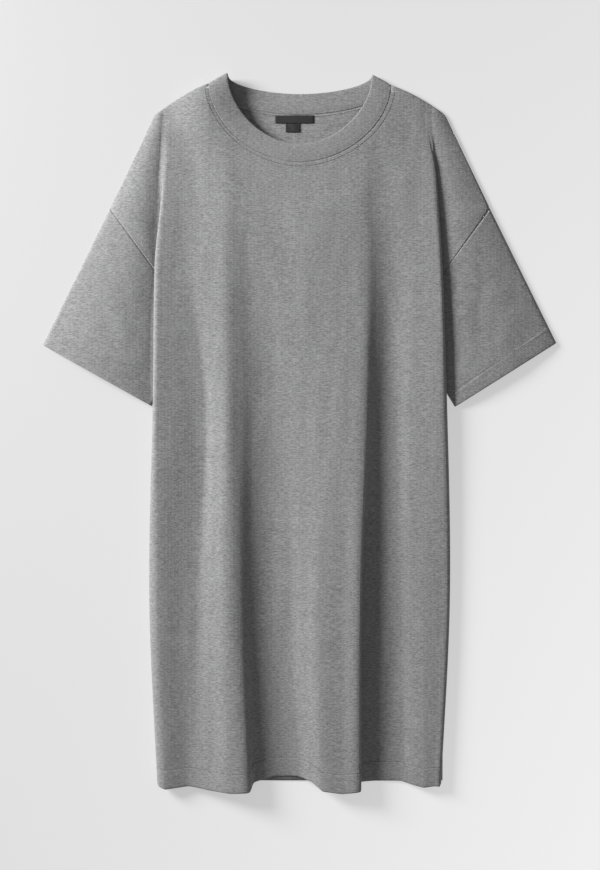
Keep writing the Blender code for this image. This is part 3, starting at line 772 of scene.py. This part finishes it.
def sleeve_grid(side):
    """Rings of a sleeve from the armhole to the cuff: (rows, points, 3)."""
    tip, corner, point, underarm = sleeve_corners(side)
    gap = (tip - point) / np.linalg.norm(tip - point) * SLEEVE_SEAM_GAP
    point, underarm = point + gap, underarm + gap
    length = np.linalg.norm((tip + corner - point - underarm) / 2)
    cuff_rows = np.array(HEM_ROWS[::-1]) * CUFF_TURNING / HEM_TURNING
    to_cuff = np.concatenate([cuff_rows, np.linspace(CUFF_ROWS_END, length, SLEEVE_ROWS)])[::-1]
    near_fold = np.array(RING_EDGE)
    q_top = np.concatenate([near_fold, np.linspace(*RING_TOP), 1 - near_fold[::-1]])
    q_low = np.linspace(*RING_LOW)
    rows = []
    for away in to_cuff:
        share = 1.0 - away / length
        outer = point + (tip - point) * share
        across = underarm + (corner - underarm) * share - outer
        z = sleeve_top(side, share, np.linalg.norm(across), away, length - away, q_top)
        upper = np.column_stack([outer + across * q_top[:, None], z])
        under = np.column_stack([outer + across * q_low[:, None], np.full(len(q_low), SHELL_LOW)])
        rows.append(np.concatenate([upper, under]))
    grid = np.array(rows)
    top = grid[:, len(RING_EDGE) : len(RING_EDGE) + RING_TOP[2]]
    calm = smooth((length - to_cuff) / SEAM_CALM)[:, None]
    ripples = ripple(top, "sleeve", seed_step=SIDES[side])
    top[..., 2] += calm * (ripples + crease_height(top[..., 0], top[..., 1], SLEEVE_CREASES))
    return grid


def band_grid():
    """The doubled neckband as a closed rounded strip all round the neck: (steps, points, 3)."""
    turns = 2 * math.pi * (np.arange(BAND_STEPS) + 0.5) / BAND_STEPS
    in_front = np.sin(turns) < 0
    seam_depth = np.where(in_front, NECK_FRONT_DEPTH, NECK_BACK_DEPTH)
    free_depth = np.where(in_front, FREE_FRONT_DEPTH, FREE_BACK_DEPTH)
    z = band_height(turns)
    half_width, seam_y = SHOULDER_CORNER_X - BAND_SEAM_GAP, SHOULDER_CORNER_Y + BAND_SEAM_GAP
    seam = np.column_stack([*neck_curve(half_width, seam_y, seam_depth, turns), z])
    free = np.column_stack([*neck_curve(FREE_HALF_WIDTH, FREE_Y, free_depth, turns), z])
    across = free - seam
    middle = (seam + free) / 2
    normal = np.cross(across, np.roll(middle, -1, axis=0) - np.roll(middle, 1, axis=0))
    normal /= np.linalg.norm(normal, axis=1, keepdims=True)
    round_edge = np.linspace(0.0, math.pi, BAND_RING_POINTS)
    q = 0.5 - 0.5 * np.cos(round_edge)
    half = BAND_WALL / 2 * np.sin(round_edge) ** BAND_FULLNESS
    groove = BAND_GROOVE * np.exp(-(((q - BAND_GROOVE_AT) / BAND_GROOVE_WIDTH) ** 2))
    half = half - groove * (half > BAND_GROOVE_FROM)
    upper = seam[:, None] + across[:, None] * q[:, None] + normal[:, None] * half[:, None]
    q_under, half_under = q[-2:0:-1], half[-2:0:-1] * BAND_UNDER_SHARE
    lower = seam[:, None] + across[:, None] * q_under[:, None] - normal[:, None] * half_under[:, None]
    return np.concatenate([upper, lower], axis=1)


def set_inputs(node, values):
    """Gives the named inputs of a node their values."""
    for name, value in values.items():
        node.inputs[name].default_value = value


def maths(tree, operation, first, second):
    """The result of two numbers or outputs added, subtracted or multiplied."""
    node = tree.nodes.new("ShaderNodeMath")
    node.operation = operation
    for socket, value in zip(node.inputs, (first, second)):
        if isinstance(value, float):
            socket.default_value = value
        else:
            tree.links.new(value, socket)
    return node.outputs["Value"]


def stretched(tree, scale):
    """Coordinates on the object, stretched by a scale in x, y and z."""
    place = tree.nodes.new("ShaderNodeTexCoord")
    mapping = tree.nodes.new("ShaderNodeMapping")
    mapping.inputs["Scale"].default_value = scale
    tree.links.new(place.outputs["Object"], mapping.inputs["Vector"])
    return mapping.outputs["Vector"]


def noise_over(tree, scale, detail, roughness):
    """Noise over the object."""
    texture = tree.nodes.new("ShaderNodeTexNoise")
    set_inputs(texture, {"Scale": 1.0, "Detail": detail, "Roughness": roughness})
    tree.links.new(stretched(tree, scale), texture.inputs["Vector"])
    return texture.outputs["Fac"]


def bands_over(tree, direction, scale, distortion):
    """Bands across the object, one after the other in a direction."""
    texture = tree.nodes.new("ShaderNodeTexWave")
    texture.bands_direction = direction
    set_inputs(texture, {"Scale": 1.0, "Distortion": distortion})
    tree.links.new(stretched(tree, scale), texture.inputs["Vector"])
    return texture.outputs["Fac"]


def contrasted(tree, value, low, high):
    """A value spread so that low becomes 0 and high becomes 1."""
    node = tree.nodes.new("ShaderNodeMapRange")
    set_inputs(node, {"From Min": low, "From Max": high, "To Min": 0.0, "To Max": 1.0})
    tree.links.new(value, node.inputs["Value"])
    return node.outputs["Result"]


def set_tones(tree, share, dark, light):
    """Colours the surface between two tones."""
    colour = tree.nodes.new("ShaderNodeMix")
    colour.data_type = "RGBA"
    set_inputs(colour, {"A": (*dark, 1.0), "B": (*light, 1.0)})
    tree.links.new(share, colour.inputs["Factor"])
    tree.links.new(colour.outputs["Result"], tree.nodes["Principled BSDF"].inputs["Base Color"])


def set_relief(tree, height, strength, distance):
    """Gives the surface a fine relief."""
    bump = tree.nodes.new("ShaderNodeBump")
    set_inputs(bump, {"Strength": strength, "Distance": distance})
    tree.links.new(height, bump.inputs["Height"])
    tree.links.new(bump.outputs["Normal"], tree.nodes["Principled BSDF"].inputs["Normal"])


def cloth_material(name):
    """Heather jersey: short pale and dark streaks along the courses, over a fine stitch relief."""
    made = bpy.data.materials.new(name)
    made.use_nodes = True
    tree = made.node_tree
    dark, light, streak, fuzz = YARNS[name]
    layers, marl = {}, 0.0
    for kind, (scale, detail, roughness, (low, high), share) in MARL.items():
        layers[kind] = contrasted(tree, noise_over(tree, scale, detail, roughness), low, high)
        marl = maths(tree, "ADD", marl, maths(tree, "MULTIPLY", layers[kind], share))
    centred = maths(tree, "SUBTRACT", marl, 0.5)
    spread = maths(tree, "ADD", maths(tree, "MULTIPLY", centred, streak), 0.5)
    set_tones(tree, spread, dark, light)
    wales = bands_over(tree, "X", WALE_SCALE, WALE_DISTORTION)
    relief = maths(tree, "ADD", maths(tree, "MULTIPLY", wales, WALE_SHARE), noise_over(tree, *FIBRES))
    streaks = maths(tree, "MULTIPLY", layers["long streaks"], STREAK_SHARE)
    set_relief(tree, maths(tree, "ADD", relief, streaks), *KNIT_BUMP)
    set_inputs(tree.nodes["Principled BSDF"], {**CLOTH_SURFACE, "Sheen Weight": fuzz})
    return made


def label_material():
    """Dark woven satin tape with fine ribs."""
    made = bpy.data.materials.new("label_satin")
    made.use_nodes = True
    tree = made.node_tree
    ribs = bands_over(tree, "Y", RIB_SCALE, RIB_DISTORTION)
    set_tones(tree, ribs, *SATIN_TONES)
    set_relief(tree, ribs, *SATIN_BUMP)
    set_inputs(tree.nodes["Principled BSDF"], SATIN_SURFACE)
    return made


def floor_material():
    """Matt paper that glows more on the side away from the light, so that it looks even."""
    made = bpy.data.materials.new("floor_paper")
    made.use_nodes = True
    tree = made.node_tree
    shader = tree.nodes["Principled BSDF"]
    place = tree.nodes.new("ShaderNodeTexCoord")
    away = tree.nodes.new("ShaderNodeVectorMath")
    away.operation = "DOT_PRODUCT"
    away.inputs[1].default_value = -Vector((*LIGHT_FROM, 0.0)).normalized()
    glow = tree.nodes.new("ShaderNodeMapRange")
    set_inputs(glow, {"From Min": -FLOOR_GLOW_REACH, "From Max": FLOOR_GLOW_REACH})
    set_inputs(glow, {"To Min": FLOOR_GLOW[0], "To Max": FLOOR_GLOW[1]})
    tree.links.new(place.outputs["Object"], away.inputs[0])
    tree.links.new(away.outputs["Value"], glow.inputs["Value"])
    tree.links.new(glow.outputs["Result"], shader.inputs["Emission Strength"])
    white, matt = (1.0, 1.0, 1.0, 1.0), (FLOOR_MATT, FLOOR_MATT, FLOOR_MATT, 1.0)
    set_inputs(shader, {**FLOOR_SURFACE, "Base Color": matt, "Emission Color": white})
    return made


def surface_tree(obj):
    """A ray tree of an object as it is shown."""
    graph = bpy.context.evaluated_depsgraph_get()
    return BVHTree.FromObject(obj, graph)


def on_cloth(tree, x, y):
    """The upper side of the cloth at (x, y): point and normal in metres, or None."""
    hit, normal, _, _ = tree.ray_cast(Vector((x, y, RAY_HEIGHT)) * MM, Vector((0, 0, -1)))
    return (hit, normal) if hit else None


def under_stitch(tree, xs, ys):
    """Points and normals of the cloth under one stitch, or None where it ends or is too steep."""
    points = [on_cloth(tree, x, y) for x, y in zip(xs, ys)]
    if not all(points):
        return None
    rises = [abs(after.z - before.z) for (before, _), (after, _) in zip(points, points[1:])]
    return points if max(rises) <= STEEPEST * MM else None


def stitch_mesh(points, base):
    """One stitch, thick in the middle and sunk at its ends: vertices and faces, counted from base."""
    heading = (points[-1][0] - points[0][0]).normalized()
    around = range(THREAD_SIDES)
    vertices, faces = [], []
    for (point, normal), (_, fullness, lift) in zip(points, STITCH_RINGS):
        side = normal.cross(heading).normalized()
        middle = point + normal * (THREAD * MM * lift)
        for turn in around:
            angle = 2 * math.pi * turn / THREAD_SIDES
            offset = side * math.cos(angle) + normal * math.sin(angle)
            vertices.append(middle + offset * (THREAD / 2 * fullness * MM))
    last = base + THREAD_SIDES * (len(STITCH_RINGS) - 1)
    for ring in range(base, last, THREAD_SIDES):
        for turn in around:
            a, b = ring + turn, ring + (turn + 1) % THREAD_SIDES
            faces.append((a, b, b + THREAD_SIDES, a + THREAD_SIDES))
    faces.append([base + turn for turn in reversed(around)])
    faces.append([last + turn for turn in around])
    return vertices, faces


def stitch_object(name, tree, line):
    """A row of stitches laid on the cloth along a line of (x, y) points."""
    run = np.concatenate([[0.0], np.cumsum(np.linalg.norm(np.diff(line, axis=0), axis=1))])
    shares = np.array([share for share, _, _ in STITCH_RINGS])
    vertices, faces = [], []
    start = STITCH_SPACE
    while start + STITCH < run[-1]:
        at = start + STITCH * shares
        points = under_stitch(tree, np.interp(at, run, line[:, 0]), np.interp(at, run, line[:, 1]))
        start += STITCH + STITCH_SPACE
        if points:
            more, sides = stitch_mesh(points, len(vertices))
            vertices += more
            faces += sides
    mesh = bpy.data.meshes.new(name)
    mesh.from_pydata(vertices, [], faces)
    mesh.shade_smooth()
    made = bpy.data.objects.new(name, mesh)
    bpy.context.scene.collection.objects.link(made)
    return made


def neck_line(out, depth, end):
    """A line on the cloth that runs beside the neckline at a distance outside it: (points, 2)."""
    turns = np.linspace(math.pi - end, end, NECK_STITCH_POINTS)
    x, y = neck_curve(SHOULDER_CORNER_X, SHOULDER_CORNER_Y, depth, turns)
    slope_x, slope_y = np.gradient(x), np.gradient(y)
    reach = np.hypot(slope_x, slope_y)
    return np.column_stack([x + slope_y / reach * out, y - slope_x / reach * out])


def cuff_line(side):
    """The stitch line of a cuff, parallel to its edge: (points, 2)."""
    tip, corner, point, underarm = sleeve_corners(side)
    start, end = (
        edge + (top - edge) / np.linalg.norm(top - edge) * CUFF_TURNING * CUFF_STITCH_SHARE
        for edge, top in ((tip, point), (corner, underarm))
    )
    return start + (end - start) * np.linspace(*CUFF_STITCH_ENDS, CUFF_STITCH_POINTS)[:, None]


def hem_line():
    """The stitch line of the hem, which follows the folds of the front: (points, 2)."""
    places = np.linspace(HEM_STITCH_FROM, LAST_STATION - HEM_STITCH_FROM, HEM_STITCH_POINTS)
    y = hem_at(places) + HEM_TURNING
    return np.column_stack([on_section(y, places)[:, 0], y])


def make_label(name, size, satin):
    """A bare woven tape that dips a little at its rims and has slight waves across it."""
    x, y, width, height, thickness = size
    columns, rows = LABEL_POINTS
    u, v = np.meshgrid(np.linspace(-0.5, 0.5, columns), np.linspace(0.5, -0.5, rows))
    edge = 0.5 - np.maximum(np.abs(u), np.abs(v))
    z = WALL + GAP + thickness / 2 + LABEL_CLEAR
    z = z + LABEL_CROWN * (1 - np.exp(-edge * LABEL_CROWN_STEEPNESS))
    for wave, along_x, along_y, start in LABEL_WAVES:
        z = z + wave * np.sin(along_x * u + along_y * v + start)
    grid = np.stack([x + u * width, y + v * height, z], axis=-1)
    made = grid_object(name, grid, wall=thickness * LABEL_WALL_SHARE)
    made.data.materials.append(satin)
    return made


def dress_piece(obj, node, cloth):
    """Fastens a piece of cloth to the frame in place of its solid."""
    obj.data.materials.clear()
    obj.data.materials.append(cloth)
    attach(obj, "root")
    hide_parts(node)


def make_stitches(front, back, sleeves):
    """Lays the rows of stitches on the dressed pieces."""
    thread, groove_shade_thread = cloth_material("thread"), cloth_material("groove_shade_thread")
    on_front, on_back = surface_tree(front), surface_tree(back)
    topstitch = neck_line(TOPSTITCH_OUT, NECK_FRONT_DEPTH, TOPSTITCH_END)
    inner_stitch = neck_line(INNER_STITCH_OUT, NECK_BACK_DEPTH, INNER_STITCH_END)
    cuffs = [
        (side + "_cuff_stitch", surface_tree(sleeve), cuff_line(side), thread)
        for side, sleeve in sleeves.items()
    ]
    rows = [
        # The neck and hem rows take the dark thread, whose colour is painted shade of their stitch grooves.
        ("neck_topstitch", on_front, topstitch, groove_shade_thread),
        ("inner_neck_stitch", on_back, inner_stitch, groove_shade_thread),
        *cuffs,
        ("hem_stitch", on_front, hem_line(), groove_shade_thread),
    ]
    for name, tree, line, yarn in rows:
        made = stitch_object(name, tree, line)
        made.data.materials.append(yarn)
        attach(made, "root")


def make_cloth():
    """Makes every piece of the dress and its stitches."""
    jersey, rib, satin = cloth_material("heather_jersey"), cloth_material("heather_band"), label_material()
    front = grid_object("front", front_grid(), wall=SHELL)
    back = grid_object("back", back_grid(), wall=SHELL)
    wall = SHELL * SLEEVE_SHELL_SHARE
    sleeves = {
        side: grid_object(side + "_sleeve", sleeve_grid(side), closed_across=True, wall=wall)
        for side in SIDES
    }
    band = grid_object("band", band_grid(), closed_across=True, closed_along=True)
    dress_piece(front, "front_panel", jersey)
    dress_piece(back, "back_panel", jersey)
    for side, sleeve in sleeves.items():
        dress_piece(sleeve, "sleeve_" + side, jersey)
    dress_piece(band, "neckband", rib)
    main_label = make_label("main_label", LABEL_MAIN, satin)
    size_label = make_label("size_label", LABEL_SIZE, satin)
    dress_piece(main_label, "label_main", satin)
    dress_piece(size_label, "label_size", satin)
    bpy.context.view_layer.update()
    make_stitches(front, back, sleeves)


def make_floor():
    """A wide pale sheet of paper that the dress lies on."""
    mesh = bpy.data.meshes.new("floor")
    far = FLOOR_HALF
    mesh.from_pydata([(-far, -far, 0), (far, -far, 0), (far, far, 0), (-far, far, 0)], [], [(0, 1, 2, 3)])
    mesh.materials.append(floor_material())
    floor = bpy.data.objects.new("floor", mesh)
    bpy.context.scene.collection.objects.link(floor)
    floor.location.z = -FLOOR_BELOW


def make_camera():
    """A camera straight above, which sees the dress at the photo's scale."""
    camera = bpy.data.cameras.new("camera")
    camera.sensor_fit = "VERTICAL"
    camera.sensor_height = SENSOR
    camera.lens = SENSOR * CAMERA_HEIGHT / (IMAGE_HEIGHT * MM_PER_PIXEL * MM)
    camera.clip_end = CAMERA_REACH
    made = bpy.data.objects.new("camera", camera)
    made.location = (0.0, CAMERA_SHIFT_PIXELS * MM_PER_PIXEL * MM, CAMERA_HEIGHT)
    bpy.context.scene.collection.objects.link(made)
    bpy.context.scene.camera = made


def make_light():
    """A round softbox low at the upper left, and a dim even sky."""
    softbox = bpy.data.lights.new("softbox", "AREA")
    softbox.shape = "DISK"
    softbox.size = 2 * LIGHT_DISTANCE * math.tan(math.radians(LIGHT_SOFTNESS / 2))
    softbox.energy = LIGHT_POWER
    made = bpy.data.objects.new("softbox", softbox)
    height = math.radians(LIGHT_HEIGHT)
    across = Vector((*LIGHT_FROM, 0.0)).normalized() * math.cos(height)
    towards = Vector((across.x, across.y, math.sin(height)))
    made.location = towards * LIGHT_DISTANCE
    made.rotation_euler = towards.to_track_quat("Z", "Y").to_euler()
    bpy.context.scene.collection.objects.link(made)
    world = bpy.data.worlds.new("studio")
    world.use_nodes = True
    set_inputs(world.node_tree.nodes["Background"], {"Color": (1.0, 1.0, 1.0, 1.0), "Strength": SKY})
    bpy.context.scene.world = world
    bpy.context.scene.view_settings.view_transform = "Standard"


make_cloth()
make_floor()
make_camera()
make_light()
